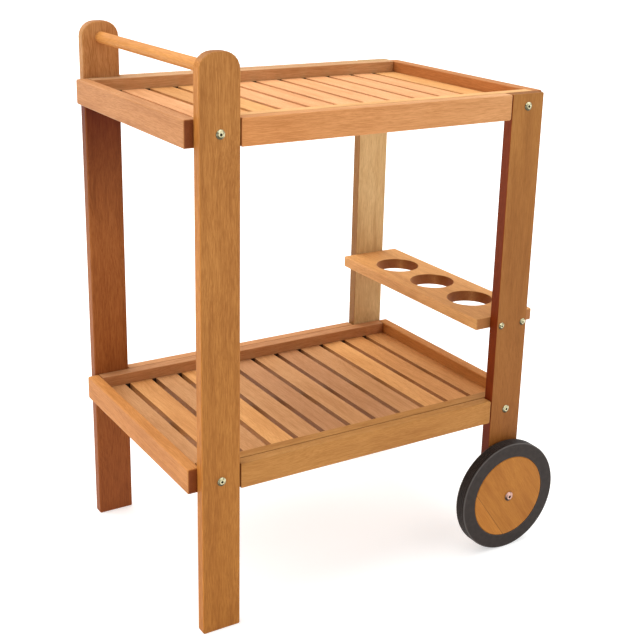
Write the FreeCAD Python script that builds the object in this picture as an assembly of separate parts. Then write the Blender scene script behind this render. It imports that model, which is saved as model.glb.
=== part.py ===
import FreeCAD, Part
import math
import os

from FreeCAD import Vector

# A two-tray wooden serving trolley: two tall legs and a round bar at the handle end, two short legs
# with a solid wheel each at the other, slatted trays with a raised rim, and a board with three round
# holes for bottles. +X runs from the handle end to the wheel end, +Y to the pusher's left, +Z up.
# The origin is on the floor, in the middle of the overall length and width. Millimetres.

# Trays: a rim of rails round a deck of slats
tray_length = 646.0
tray_width = 415.0
upper_tray_top = 809.0
lower_tray_top = 279.0
rail_height = 41.5
rail_thickness = 20.0
outer_rail_thickness = 20.0
outer_rail_end_gap = 1.0
outer_rail_corner = 2.0
tenon_length = 12.0
tenon_cheek = 6.0
tenon_shoulder = 8.0
joint_clearance = 0.1

# Deck: slats across the tray, carried by two ledgers and a middle batten
slat_width = 42.0
slat_least_gap = 8.0
slat_thickness = 14.0
slat_recess = 20.0
slat_end_clearance = 0.3
slat_rim_clearance = 0.5
ledger_width = 15.0
batten_width = 40.0

# Legs, flat on the outside of the trays
leg_width = 64.0
leg_thickness = 20.0
leg_corner_radius = 26.0
leg_end_setback = 14.0
handle_leg_rise = 92.5
wheel_leg_foot_drop = 45.0
board_easing = 1.0

# Handle bar, let into blind holes in the tall legs
handle_diameter = 19.0
handle_drop = 26.5
handle_socket_depth = 12.0

# Bottle board between the short legs
holder_width = 122.0
holder_thickness = 20.0
holder_above_tray = 148.5
bottle_hole_diameter = 80.0
bottle_hole_spacing = 111.0

# Wheels
wheel_diameter = 200.0
wheel_width = 23.0
disc_diameter = 150.0
disc_bevel = 2.0
tyre_bevel = 4.0
axle_diameter = 8.0
axle_running_clearance = 0.05
axle_end_play = 0.3

# Wheel fasteners
axle_head_diameter = 17.0
axle_head_height = 3.0
axle_socket_width = 5.0
axle_washer_diameter = 24.0
axle_washer_thickness = 2.0
nut_width = 13.0
nut_height = 8.0
axle_past_nut = 1.5

# Flat-headed screws, driven with a hexagonal key, that hold the trays to the legs
screw_head_diameter = 14.5
screw_head_height = 2.5
screw_socket_width = 4.0
screw_diameter = 6.0
screw_length = 36.0
socket_depth = 1.6
fastener_clearance = 0.1

# Derived planes and places
wheel_radius = wheel_diameter / 2
leg_spacing = tray_length - 2 * leg_end_setback - leg_width
tray_x = -(leg_spacing / 2 + wheel_radius - tray_length / 2) / 2
handle_leg_x = tray_x - leg_spacing / 2
wheel_leg_x = tray_x + leg_spacing / 2
tray_end = tray_length / 2
deck_end = tray_end - rail_thickness
leg_plane = tray_width / 2
rim_inside = leg_plane - rail_thickness
ledger_height = rail_height - slat_recess - slat_thickness
leg_outer = leg_plane + leg_thickness
handle_leg_top = upper_tray_top + handle_leg_rise
handle_height = handle_leg_top - handle_drop
wheel_leg_foot = wheel_radius - wheel_leg_foot_drop
wheel_inner = leg_outer + axle_washer_thickness + axle_end_play
wheel_outer = wheel_inner + wheel_width
holder_top = lower_tray_top + holder_above_tray
tray_tops = {"upper": upper_tray_top, "lower": lower_tray_top}
left = 1
right = -1
sides = {"left": left, "right": right}

X = Vector(1, 0, 0)
Y = Vector(0, 1, 0)
Z = Vector(0, 0, 1)


def save(shape, node):
    """Write one sub-part as its own STEP file."""
    shape.exportStep("parts/" + node + ".step")


def for_side(shape, side):
    """A shape drawn on the left side, or its mirror image across the middle plane."""
    return shape if side == left else shape.mirror(Vector(0, 0, 0), Y)


def box(x0, x1, y0, y1, z0, z1):
    """A box between three pairs of planes."""
    return Part.makeBox(x1 - x0, y1 - y0, z1 - z0, Vector(x0, y0, z0))


def edges_along(shape, direction):
    """The straight edges of a shape that run along one axis."""
    found = []
    for edge in shape.Edges:
        ends = edge.Vertexes
        if len(ends) == 2 and not edge.Closed:
            run = ends[1].Point.sub(ends[0].Point)
            if run.cross(direction).Length < 1e-6:
                found.append(edge)
    return found


def board(x0, x1, y0, y1, z0, z1, along):
    """A planed board whose four long edges are eased."""
    blank = box(x0, x1, y0, y1, z0, z1)
    return blank.makeChamfer(board_easing, edges_along(blank, along))


def rod(diameter, start, length, direction):
    """A round bar or the cutter for a round hole."""
    return Part.makeCylinder(diameter / 2, length, start, direction)


def hexagon(width, start, height):
    """A hexagonal prism along Y, measured across its flats."""
    reach = width / math.sqrt(3)
    corners = []
    for turn in range(7):
        angle = math.radians(60 * turn)
        corners.append(start + Vector(reach * math.cos(angle), 0, reach * math.sin(angle)))
    return Part.Face(Part.makePolygon(corners)).extrude(Y * height)


def leg_board(centre_x, bottom, top, rounded_end):
    """A flat leg on the left side, with the two corners of one end rounded."""
    x0 = centre_x - leg_width / 2
    x1 = centre_x + leg_width / 2
    blank = box(x0, x1, leg_plane, leg_outer, bottom, top)
    corners = [e for e in edges_along(blank, Y) if abs(e.CenterOfMass.z - rounded_end) < 1e-6]
    blank = blank.makeFillet(leg_corner_radius, corners)
    outline = [e for e in blank.Edges if abs(e.BoundBox.YLength) < 1e-6]
    return blank.makeChamfer(board_easing, outline)


def screw_places(leg_x):
    """Where each tray is screwed to a leg: the leg's middle, halfway up the rail."""
    return [Vector(leg_x, leg_plane, top - rail_height / 2) for top in tray_tops.values()]


def through_leg(diameter, place):
    """The cutter for a hole right through a leg."""
    return rod(diameter + 2 * fastener_clearance, place, leg_thickness, Y)


def handle_leg():
    """A tall leg: rounded top, a blind hole for the bar and two screw holes."""
    leg = leg_board(handle_leg_x, 0, handle_leg_top, handle_leg_top)
    socket = Vector(handle_leg_x, leg_plane, handle_height)
    leg = leg.cut(rod(handle_diameter + 2 * joint_clearance, socket, handle_socket_depth + joint_clearance, Y))
    for place in screw_places(handle_leg_x):
        leg = leg.cut(through_leg(screw_diameter, place))
    return leg


def wheel_leg():
    """A short leg: level with the upper rim, rounded foot, holes for its screws and the axle."""
    leg = leg_board(wheel_leg_x, wheel_leg_foot, upper_tray_top, wheel_leg_foot)
    for place in screw_places(wheel_leg_x):
        leg = leg.cut(through_leg(screw_diameter, place))
    return leg.cut(through_leg(axle_diameter, Vector(wheel_leg_x, leg_plane, wheel_radius)))


def handle_bar():
    """The round bar between the tall legs, with its ends in their blind holes."""
    reach = leg_plane + handle_socket_depth
    return rod(handle_diameter, Vector(handle_leg_x, -reach, handle_height), 2 * reach, Y)


def tenon(end, top, clearance):
    """The stub tenon at one end of an inner side rail; with a clearance, its mortise."""
    shoulder_x = tray_x + end * deck_end
    tip_x = shoulder_x + end * (tenon_length + clearance)
    x0 = min(shoulder_x, tip_x)
    x1 = max(shoulder_x, tip_x)
    y0 = rim_inside + tenon_cheek - clearance
    y1 = leg_plane - tenon_cheek + clearance
    z0 = top - rail_height + tenon_shoulder - clearance
    z1 = top - tenon_shoulder + clearance
    return box(x0, x1, y0, y1, z0, z1)


def end_rail(end, top):
    """The rail across one end of a tray, with a mortise for each inner side rail."""
    inner_x = tray_x + end * deck_end
    outer_x = tray_x + end * tray_end
    rail = board(min(inner_x, outer_x), max(inner_x, outer_x), -leg_plane, leg_plane, top - rail_height, top, Y)
    for side in sides.values():
        rail = rail.cut(for_side(tenon(end, top, joint_clearance), side))
    return rail


def screw_hole(place):
    """The blind hole for the part of a screw that reaches past the leg, inwards from its plane."""
    depth = screw_length - leg_thickness + joint_clearance
    return rod(screw_diameter + 2 * fastener_clearance, place, depth, Y * -1)


def inner_side_rail(top):
    """A side rail of the tray frame, tenoned into both end rails and bored for its two screws."""
    rail = board(tray_x - deck_end, tray_x + deck_end, rim_inside, leg_plane, top - rail_height, top, X)
    rail = rail.fuse([tenon(-1, top, 0), tenon(1, top, 0)]).removeSplitter()
    for leg_x in (handle_leg_x, wheel_leg_x):
        rail = rail.cut(screw_hole(Vector(leg_x, leg_plane, top - rail_height / 2)))
    return rail


def outer_side_rail(top):
    """The rail that fills the space between two legs, glued along the tray frame."""
    x0 = handle_leg_x + leg_width / 2 + outer_rail_end_gap
    x1 = wheel_leg_x - leg_width / 2 - outer_rail_end_gap
    outer_face = leg_plane + outer_rail_thickness
    blank = box(x0, x1, leg_plane, outer_face, top - rail_height, top)
    blank = blank.makeChamfer(outer_rail_corner, edges_along(blank, Y))
    rim = [e for e in blank.Edges if abs(e.BoundBox.YMin - outer_face) < 1e-6]
    return blank.makeChamfer(board_easing, rim)


def ledger(top):
    """The strip under the slats' ends, glued to the inner side rail."""
    z0 = top - rail_height
    return box(tray_x - deck_end, tray_x + deck_end, rim_inside - ledger_width, rim_inside, z0, z0 + ledger_height)


def batten(top):
    """The strip under the middle of the slats, from end rail to end rail."""
    z0 = top - rail_height
    half = batten_width / 2
    return box(tray_x - deck_end, tray_x + deck_end, -half, half, z0, z0 + ledger_height)


def slat_starts():
    """The lower X edge of each slat: as many as fit, with equal gaps between them."""
    deck = 2 * (deck_end - slat_rim_clearance)
    count = int((deck + slat_least_gap) // (slat_width + slat_least_gap))
    gap = (deck - count * slat_width) / (count - 1)
    first = tray_x - deck / 2
    return [first + n * (slat_width + gap) for n in range(count)]


def slat(x0, top):
    """One slat across the tray, its top set below the rim."""
    reach = rim_inside - slat_end_clearance
    z1 = top - slat_recess
    return board(x0, x0 + slat_width, -reach, reach, z1 - slat_thickness, z1, Y)


def bottle_holder():
    """The board with three round holes that spans the short legs, the holes' upper rims eased."""
    half = holder_width / 2
    z0 = holder_top - holder_thickness
    plate = board(wheel_leg_x - half, wheel_leg_x + half, -leg_plane, leg_plane, z0, holder_top, Y)
    for step in (-1, 0, 1):
        start = Vector(wheel_leg_x, step * bottle_hole_spacing, z0)
        plate = plate.cut(rod(bottle_hole_diameter, start, holder_thickness, Z))
    rims = [e for e in plate.Edges if e.Closed and abs(e.BoundBox.ZMin - holder_top) < 1e-6]
    return plate.makeChamfer(board_easing, rims)


def turned(profile):
    """A ring about the axle line, from its outline of (radius, y) points below the axle."""
    points = [Vector(wheel_leg_x, y, wheel_radius - r) for r, y in profile]
    face = Part.Face(Part.makePolygon(points + points[:1]))
    return face.revolve(Vector(wheel_leg_x, 0, wheel_radius), Y, 360)


def wheel_disc():
    """The wooden disc, bored to run on the axle bolt and bevelled round its outer face."""
    bore = axle_diameter / 2 + axle_running_clearance
    rim = disc_diameter / 2
    bevel = disc_bevel
    return turned([(bore, wheel_inner), (rim, wheel_inner), (rim, wheel_outer - bevel),
                   (rim - bevel, wheel_outer), (bore, wheel_outer)])


def tyre():
    """The rubber ring round the disc, its two shoulders bevelled."""
    seat = disc_diameter / 2 + joint_clearance
    tread = wheel_radius
    bevel = tyre_bevel
    return turned([(seat, wheel_inner), (tread - bevel, wheel_inner), (tread, wheel_inner + bevel),
                   (tread, wheel_outer - bevel), (tread - bevel, wheel_outer), (seat, wheel_outer)])


def flat_head(head_diameter, head_height, width, seat):
    """A flat head standing out along +Y from its seat, with a hexagonal socket."""
    head = rod(head_diameter, seat, head_height, Y)
    floor = seat + Y * (head_height - socket_depth)
    return head.cut(hexagon(width, floor, socket_depth))


def tray_screw(place):
    """A screw that holds a tray to a leg: its head on the leg's outer face, its shank running inwards."""
    seat = place + Y * leg_thickness
    shank = rod(screw_diameter, seat, screw_length, Y * -1)
    return flat_head(screw_head_diameter, screw_head_height, screw_socket_width, seat).fuse(shank)


def axle_line(y):
    """A point on the axle line."""
    return Vector(wheel_leg_x, y, wheel_radius)


def axle_bolt():
    """The bolt that a wheel turns on, from its head outside the disc to past its nut."""
    tip_y = leg_plane - nut_height - axle_past_nut
    seat = axle_line(wheel_outer + axle_end_play)
    shank = rod(axle_diameter, axle_line(tip_y), seat.y - tip_y, Y)
    return flat_head(axle_head_diameter, axle_head_height, axle_socket_width, seat).fuse(shank)


def axle_washer():
    """The washer between a wheel and its leg."""
    disc = rod(axle_washer_diameter, axle_line(leg_outer), axle_washer_thickness, Y)
    return disc.cut(rod(axle_diameter + 2 * fastener_clearance, axle_line(leg_outer), axle_washer_thickness, Y))


def axle_nut():
    """The nut on the inner end of an axle bolt."""
    start = axle_line(leg_plane - nut_height)
    bore = rod(axle_diameter + 2 * fastener_clearance, start, nut_height, Y)
    return hexagon(nut_width, start, nut_height).cut(bore)


def save_group(shapes, node):
    """Write identical fasteners of both sides as one group of separate solids."""
    solids = []
    for side in sides.values():
        solids.extend(for_side(shape, side) for shape in shapes)
    save(Part.makeCompound(solids), node)


def save_tray(name, top):
    """Write every piece of one tray."""
    save(end_rail(-1, top), name + "_tray_handle_end_rail")
    save(end_rail(1, top), name + "_tray_wheel_end_rail")
    for side_name, side in sides.items():
        save(for_side(inner_side_rail(top), side), name + "_tray_" + side_name + "_inner_rail")
        save(for_side(outer_side_rail(top), side), name + "_tray_" + side_name + "_outer_rail")
        save(for_side(ledger(top), side), name + "_tray_" + side_name + "_ledger")
    save(batten(top), name + "_tray_batten")
    for number, start in enumerate(slat_starts(), 1):
        save(slat(start, top), name + "_tray_slat_" + str(number))


def save_side(side_name, side):
    """Write the legs and the wheel of one side."""
    save(for_side(handle_leg(), side), side_name + "_handle_leg")
    save(for_side(wheel_leg(), side), side_name + "_wheel_leg")
    save(for_side(wheel_disc(), side), side_name + "_wheel_disc")
    save(for_side(tyre(), side), side_name + "_tyre")


os.makedirs("parts", exist_ok=True)
for tray_name, tray_top in tray_tops.items():
    save_tray(tray_name, tray_top)
for one_name, one_side in sides.items():
    save_side(one_name, one_side)
save(handle_bar(), "handle_bar")
save(bottle_holder(), "bottle_holder")

all_screw_places = screw_places(handle_leg_x) + screw_places(wheel_leg_x)
save_group([tray_screw(place) for place in all_screw_places], "tray_screws")
save_group([axle_bolt()], "axle_bolts")
save_group([axle_nut()], "axle_nuts")
save_group([axle_washer()], "axle_washers")
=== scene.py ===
# %% [markdown]
# # A wooden serving trolley, dressed on its CAD frame
#
# The trolley is about fifty planed boards, two wheels and a handful of screws. Its solids are already
# made and packed, so this file loads them as a fixed frame and gives every visible piece a finer
# surface and a real finish. Each piece is a formula worked out with numpy. It sits where its solid is.

# %% Load the frame
import math

import bpy
import numpy as np
from mathutils import Matrix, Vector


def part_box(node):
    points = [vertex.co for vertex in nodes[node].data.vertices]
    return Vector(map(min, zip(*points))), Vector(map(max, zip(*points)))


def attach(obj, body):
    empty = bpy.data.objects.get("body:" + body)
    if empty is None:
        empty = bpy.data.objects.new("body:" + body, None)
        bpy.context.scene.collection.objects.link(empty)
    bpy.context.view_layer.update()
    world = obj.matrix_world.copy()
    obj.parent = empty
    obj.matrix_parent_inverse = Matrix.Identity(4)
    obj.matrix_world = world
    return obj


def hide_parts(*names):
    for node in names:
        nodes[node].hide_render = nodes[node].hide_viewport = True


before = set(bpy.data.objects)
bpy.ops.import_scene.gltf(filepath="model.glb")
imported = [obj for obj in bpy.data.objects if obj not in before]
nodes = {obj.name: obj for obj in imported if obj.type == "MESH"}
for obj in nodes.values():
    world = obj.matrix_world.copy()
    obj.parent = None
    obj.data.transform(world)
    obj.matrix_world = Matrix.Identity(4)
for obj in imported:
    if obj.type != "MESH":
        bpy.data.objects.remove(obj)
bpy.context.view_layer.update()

print("solids in the frame:", len(nodes))

# %% [markdown]
# Sizes are easiest to read in millimetres, and Blender works in metres. One constant turns one into
# the other. Two small functions read where a solid is, so no place is written twice.

# %% Millimetres and places
mm = 0.001
X, Y, Z = 0, 1, 2


def place_of(node):
    """The lowest and the highest corner of a solid, in metres."""
    low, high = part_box(node)
    return np.array(low), np.array(high)


def middle_of(node):
    """The middle of a solid's box, in metres."""
    return sum(place_of(node)) / 2


leg_low, leg_high = place_of("left_handle_leg")
print("a tall leg is", np.round((leg_high - leg_low) / mm, 1), "mm")

# %% [markdown]
# ## From a grid of points to a mesh
#
# Most pieces here are one grid: rows run across the piece's profile and columns run round it. The
# same formula that gives a point also gives its exact normal. With that normal on every point, flat
# faces shade flat and eased edges shade round, without a fine mesh. A box with a Bevel modifier comes
# close for a square board, but not for a leg's round end or a tyre, and one way for all of them is
# easier to follow. A flat end is one polygon on the last row of points, and a ring such as a tyre
# joins its last row to its first.

# %% A surface from rows and columns


class Surface:
    """Points, normals and faces of one piece, gathered patch by patch."""

    def __init__(self):
        self.points = []
        self.normals = []
        self.edge = []
        self.faces = []
        self.count = 0

    def add(self, points, normals, edge=None, start_cap=False, end_cap=False, ring=False):
        """A grid (rows, columns, 3) that closes round its columns; a cap fills its first or last row,
        and a ring joins its last row to its first. The grid's numbers come back."""
        rows, columns = points.shape[:2]
        index = self.count + np.arange(rows * columns).reshape(rows, columns)
        here = np.concatenate([index, index[:1]]) if ring else index
        beside = np.roll(here, -1, axis=1)
        quads = np.stack([here[:-1], beside[:-1], beside[1:], here[1:]], axis=-1)
        self.faces.extend(quads.reshape(-1, 4).tolist())
        if start_cap:
            self.faces.append(index[0, ::-1].tolist())
        if end_cap:
            self.faces.append(index[-1].tolist())
        self.points.append(points.reshape(-1, 3))
        self.normals.append(normals.reshape(-1, 3))
        worn = np.zeros(rows) if edge is None else edge
        self.edge.append(np.broadcast_to(worn.reshape(rows, -1), (rows, columns)).ravel())
        self.count += rows * columns
        return index

    def arrays(self):
        """Everything gathered so far as three arrays."""
        return np.concatenate(self.points), np.concatenate(self.normals), np.concatenate(self.edge)


print("a surface starts with", Surface().count, "points and grows grid by grid")

# %% [markdown]
# A finished piece needs a few more things: it is smooth-shaded with its own normals, it rides on the
# body that moves it, it names its material slot, and it stands for its solid. The wood also has to
# know which way each board was cut. The attribute "grain" is a point's place along, across and through
# its board, "board" is a random number per board that keeps two boards from showing the same figure,
# "tone" is the plank's own colour, with painted light and shade on the legs, rails and bottle board,
# "edge" is the wear on an eased edge, with a painted highlight on the tyre and painted shade on the
# screw heads, and "end" is one where the grain is cut across, with painted shade added on the slats'
# sides and the discs' rims.

# %% Making a piece
rng = np.random.default_rng(7)


def board_axes(along, thin, turn=0.0):
    """Unit vectors along the grain, across it and through the board, one per row; the first two are
    turned about the third by an angle."""
    across = 3 - along - thin
    axes = np.zeros((3, 3))
    axes[0, along], axes[0, across] = math.cos(turn), math.sin(turn)
    axes[1, along], axes[1, across] = -math.sin(turn), math.cos(turn)
    axes[2, thin] = 1.0
    return axes


def make_piece(name, surface, material, tone=(1.0, 1.0, 1.0, 1.0), body="cart",
               node=None, along=X, thin=Y, turn=0.0, end_cut=1.0, side_cut=0.0):
    """A mesh object from a Surface; its grain is place times board axes, measured from the middle.
    Its end is the larger of |n . along| times end_cut and |n . across| times side_cut."""
    points, normals, edge = surface.arrays()
    mesh = bpy.data.meshes.new(name)
    mesh.from_pydata(points, [], surface.faces)
    mesh.shade_smooth()
    mesh.normals_split_custom_set_from_vertices(normals)
    axes = board_axes(along, thin, turn)
    grain = points @ axes.T
    grain -= (grain.max(0) + grain.min(0)) / 2
    end = np.maximum(end_cut * np.abs(normals @ axes[0]), side_cut * np.abs(normals @ axes[1]))
    own = {"grain": ("FLOAT_VECTOR", "vector", grain),
           "board": ("FLOAT_VECTOR", "vector", np.tile(rng.random(3), (len(points), 1))),
           "tone": ("FLOAT_COLOR", "color", np.broadcast_to(tone, (len(points), 4))),
           "edge": ("FLOAT", "value", edge),
           "end": ("FLOAT", "value", end)}
    for title, (kind, field, values) in own.items():
        layer = mesh.attributes.new(title, kind, "POINT")
        layer.data.foreach_set(field, values.astype(np.float32).ravel())
    mesh.materials.append(material)
    piece = bpy.data.objects.new(name, mesh)
    bpy.context.scene.collection.objects.link(piece)
    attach(piece, body)
    if node:
        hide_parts(node)
    return piece


print("the grain of a board along Z, face to Y, has its axes in rows:", board_axes(Z, Y).tolist())

# %% [markdown]
# ## Colour and nodes
#
# Hex colours are what the eye sees on a screen, while Blender mixes light in linear values, so one
# function turns the first into the second. Another one adds a shader node with its settings and its
# links in one call, which keeps a material readable from top to bottom. An input is given by its name,
# or by its number where several share a name.

# %% Hex colours and one node helper
SOFT = {"interpolation_type": "SMOOTHSTEP"}
COLOUR = {"data_type": "RGBA"}
TINT = {"data_type": "RGBA", "blend_type": "MULTIPLY"}


def linear(hex_colour):
    """An sRGB hex colour as linear red, green, blue and full alpha."""
    srgb = np.array([int(hex_colour[i:i + 2], 16) for i in (1, 3, 5)]) / 255
    low = srgb / 12.92
    high = ((srgb + 0.055) / 1.055) ** 2.4
    return (*np.where(srgb <= 0.04045, low, high), 1.0)


def add(tree, kind, settings=None, **inputs):
    """A new node: settings go to its properties, and each input is a number or another node's output.
    An input called i3 is the fourth socket, and any other name is the socket's own name."""
    node = tree.nodes.new(kind)
    for key, value in (settings or {}).items():
        setattr(node, key, value)
    for key, value in inputs.items():
        numbered = key[0] == "i" and key[1:].isdigit()
        socket = node.inputs[int(key[1:])] if numbered else node.inputs[key.replace("_", " ")]
        if isinstance(value, bpy.types.Node):
            value = value.outputs[0]
        if isinstance(value, bpy.types.NodeSocket):
            tree.links.new(value, socket)
        else:
            socket.default_value = value
    return node


def new_material(name):
    """An empty node material with its Principled shader wired to the output."""
    material = bpy.data.materials.new(name)
    material.use_nodes = True
    tree = material.node_tree
    tree.nodes.clear()
    shader = add(tree, "ShaderNodeBsdfPrincipled")
    add(tree, "ShaderNodeOutputMaterial", Surface=shader)
    return material, tree, shader


print("one colour, sRGB to linear: #C98A55 is", np.round(linear("#C98A55")[:3], 3))

# %% [markdown]
# ## The wood
#
# The boards are a straight-grained, golden-red hardwood, planed, sanded and oiled. The eye gets five
# things from it: slow bands of lighter and darker growth, fine fibre streaks a few centimetres long,
# short dark pores, much darker end grain that has drunk more oil, and a soft sheen. Real fibres are a
# few tenths of a millimetre wide, finer than a pixel here, so they are drawn a little over a
# millimetre wide. A picture of wood would need its seams hidden at every edge. Here every pattern is
# noise in three dimensions, stretched along the grain by dividing the place by the pattern's length
# and width before the noise reads it, so it runs over the edges by itself. Each noise is read through
# a window: outside it the pattern shows with no share or with its full one, and inside it in between.

# %% Scales of the figure in the wood
band_size = (200 * mm, 11 * mm, 11 * mm)
cloud_size = (120 * mm, 50 * mm, 50 * mm)
fibre_size = (28 * mm, 1.2 * mm, 1.2 * mm)
pore_size = (11 * mm, 1.2 * mm, 1.2 * mm)
sway_size = (190 * mm, 70 * mm, 70 * mm)
sway_reach = 12 * mm
band_window, band_share = {"i1": 0.3, "i2": 0.6}, 0.45
cloud_window, cloud_share = {"i1": 0.42, "i2": 0.72}, 0.4
fibre_window = {"i1": 0.34, "i2": 0.66}
pore_window, pore_share = {"i1": 0.58, "i2": 0.72}, 0.6
wide_window = {"i1": 0.3, "i2": 0.7}


def stretched_noise(tree, place, size, detail=2.0, roughness=0.5):
    """Noise of (place / size): each feature is one size long, wide and deep."""
    scaled = add(tree, "ShaderNodeVectorMath", {"operation": "DIVIDE"}, i0=place, i1=size)
    return add(tree, "ShaderNodeTexNoise", Vector=scaled, Scale=1.0, Detail=detail, Roughness=roughness)


for title, size in (("fibres", fibre_size), ("pores", pore_size), ("growth bands", band_size)):
    print(title, "are drawn, mm:", np.round(np.array(size) / mm, 1))

# %% [markdown]
# One recipe serves every plank, and each plank brings its own tone as an attribute. The figure says
# how strongly the fibres and pores show: most on the legs, which were planed and never sanded fine,
# and least on the slats and the discs. Darker growth is the tone made redder and deeper, and paler
# growth is the tone made lighter and yellower, so every plank keeps to its own family of colours. The
# growth bands sway a little from side to side, as they do in any tree. An oil finish has no film over
# the wood, so its sheen is faint and broad: the roughness is high and the specular level low. A solid
# that is kept from the frame has no such attributes, so its wood reads Object coordinates and one
# given tone.

# %% Oiled hardwood
deeper = (0.70, 0.60, 0.48, 1.0)
lighter = (1.14, 1.22, 1.34, 1.0)
# End grain is darker for its own oil, and darker again as painted shade for the shaded ends of the
# rails beside the legs.
soaked_end_and_shade, end_window = (0.38, 0.23, 0.15, 1.0), {"i1": 0.3, "i2": 1.0}
dark_fibre = np.array([0.20, 0.26, 0.36])
pale_fibre = np.array([0.12, 0.15, 0.20])
rubbed_share = 0.25
board_spread = (7.0, 5.0, 3.0)
sheen = {"i1": 0.2, "i2": 0.8, "i3": 0.56, "i4": 0.44}


def oiled_hardwood(name, figure=1.0, carried_tone=None, mark=None):
    """The plank's tone, times the growth bands, clouds, fibres, pores, worn edges and soaked ends. The
    fibres run from 1 - dark_fibre f to 1 + pale_fibre f and the pores' share is pore_share f, with f
    the figure. The noise is read at grain + board * board_spread, so each board has its own figure. A
    mark is a function that draws one more thing from the place along and across the grain."""
    material, tree, shader = new_material(name)
    if carried_tone:
        place = add(tree, "ShaderNodeTexCoord").outputs["Object"]
        plank, worn, cut = carried_tone, 0.0, 0.0
    else:
        grain = add(tree, "ShaderNodeAttribute", {"attribute_name": "grain"}).outputs["Vector"]
        board = add(tree, "ShaderNodeAttribute", {"attribute_name": "board"}).outputs["Vector"]
        place = add(tree, "ShaderNodeVectorMath", {"operation": "MULTIPLY_ADD"},
                    i0=board, i1=board_spread, i2=grain).outputs[0]
        plank = add(tree, "ShaderNodeAttribute", {"attribute_name": "tone"}).outputs["Color"]
        worn = add(tree, "ShaderNodeAttribute", {"attribute_name": "edge"}).outputs["Fac"]
        cut = add(tree, "ShaderNodeAttribute", {"attribute_name": "end"}).outputs["Fac"]
    sway = stretched_noise(tree, place, sway_size, detail=0.0)
    drift = add(tree, "ShaderNodeMath", {"operation": "MULTIPLY_ADD"},
                i0=sway, i1=2 * sway_reach, i2=-sway_reach)
    sideways = add(tree, "ShaderNodeCombineXYZ", i1=drift, i2=drift)
    bent = add(tree, "ShaderNodeVectorMath", {"operation": "ADD"}, i0=place, i1=sideways).outputs[0]
    bands = stretched_noise(tree, bent, band_size, detail=3.0)
    clouds = stretched_noise(tree, place, cloud_size, detail=1.0)
    fibres = stretched_noise(tree, bent, fibre_size, detail=3.0, roughness=0.62)
    pores = stretched_noise(tree, bent, pore_size, detail=1.0)

    dark = add(tree, "ShaderNodeMix", TINT, i0=1.0, i6=plank, i7=deeper).outputs[2]
    pale = add(tree, "ShaderNodeMix", TINT, i0=1.0, i6=plank, i7=lighter).outputs[2]
    banded = add(tree, "ShaderNodeMapRange", SOFT, i0=bands, i3=band_share, i4=0.0, **band_window)
    shade = add(tree, "ShaderNodeMix", COLOUR, i0=banded, i6=plank, i7=dark).outputs[2]
    clouded = add(tree, "ShaderNodeMapRange", SOFT, i0=clouds, i4=cloud_share, **cloud_window)
    shade = add(tree, "ShaderNodeMix", COLOUR, i0=clouded, i6=shade, i7=pale).outputs[2]
    light = add(tree, "ShaderNodeMapRange", SOFT, i0=fibres, **fibre_window)
    streak = add(tree, "ShaderNodeMix", COLOUR, i0=light, i6=(*(1 - dark_fibre * figure), 1.0),
                 i7=(*(1 + pale_fibre * figure), 1.0)).outputs[2]
    shade = add(tree, "ShaderNodeMix", TINT, i0=1.0, i6=shade, i7=streak).outputs[2]
    pore = add(tree, "ShaderNodeMapRange", SOFT, i0=pores, i4=pore_share * figure, **pore_window)
    shade = add(tree, "ShaderNodeMix", COLOUR, i0=pore, i6=shade, i7=dark).outputs[2]
    if mark:
        shade = mark(tree, shade, *add(tree, "ShaderNodeSeparateXYZ", i0=grain).outputs[:2])
    rubbed = add(tree, "ShaderNodeMath", {"operation": "MULTIPLY"}, i0=worn, i1=rubbed_share)
    shade = add(tree, "ShaderNodeMix", COLOUR, i0=rubbed, i6=shade, i7=pale).outputs[2]
    ends = add(tree, "ShaderNodeMapRange", SOFT, i0=cut, **end_window)
    shade = add(tree, "ShaderNodeMix", TINT, i0=ends, i6=shade, i7=soaked_end_and_shade).outputs[2]
    tree.links.new(shade, shader.inputs["Base Color"])

    gloss = add(tree, "ShaderNodeMapRange", SOFT, i0=fibres, **sheen)
    tree.links.new(gloss.outputs[0], shader.inputs["Roughness"])
    shader.inputs["IOR"].default_value = 1.48
    shader.inputs["Specular IOR Level"].default_value = 0.14
    relief = add(tree, "ShaderNodeMath", {"operation": "SUBTRACT"}, i0=fibres, i1=pore)
    bump = add(tree, "ShaderNodeBump", Strength=0.25, Distance=0.15 * mm, Height=relief)
    tree.links.new(bump.outputs[0], shader.inputs["Normal"])
    return material


print("end grain keeps", soaked_end_and_shade[:3], "of the light")

# %% [markdown]
# Three woods carry one more mark. The wheel discs show the glue line between their planks. The inner
# rails are painted nearly black below the deck, as painted shade. It only shows as a dark speck at the
# end of each gap between two slats. The left tall leg has painted light above the tray's rim and the
# tray's painted shadow just below it. Finer meshes could carry these as colours on their points, but a
# material needs no extra points: it measures along or across the grain from the board's middle.

# %% Glue line, painted shade below the deck, painted light and shadow at the rim
glue_place, glue_width, glue_share = -48 * mm, 0.9 * mm, 0.7
plank_step, paler_plank = 0.3 * mm, 1.13
deck_line = place_of("upper_tray_slat_1")[1][Z] - middle_of("upper_tray_left_inner_rail")[Z]
# Painted shade on the inner rails below the deck.
deck_shade_step, deck_shade_share = 1.0 * mm, 0.94
rim_line = place_of("upper_tray_left_outer_rail")[1][Z] - middle_of("left_handle_leg")[Z]
# Painted light on the left tall leg above the rim, and the tray's painted shadow below it.
painted_rim_light, rim_light_reach = (1.25, 1.62, 2.35, 1.0), 30 * mm
painted_tray_shadow, tray_shadow_full, tray_shadow_gone = (0.31, 0.11, 0.04, 1.0), 45 * mm, 290 * mm


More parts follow.
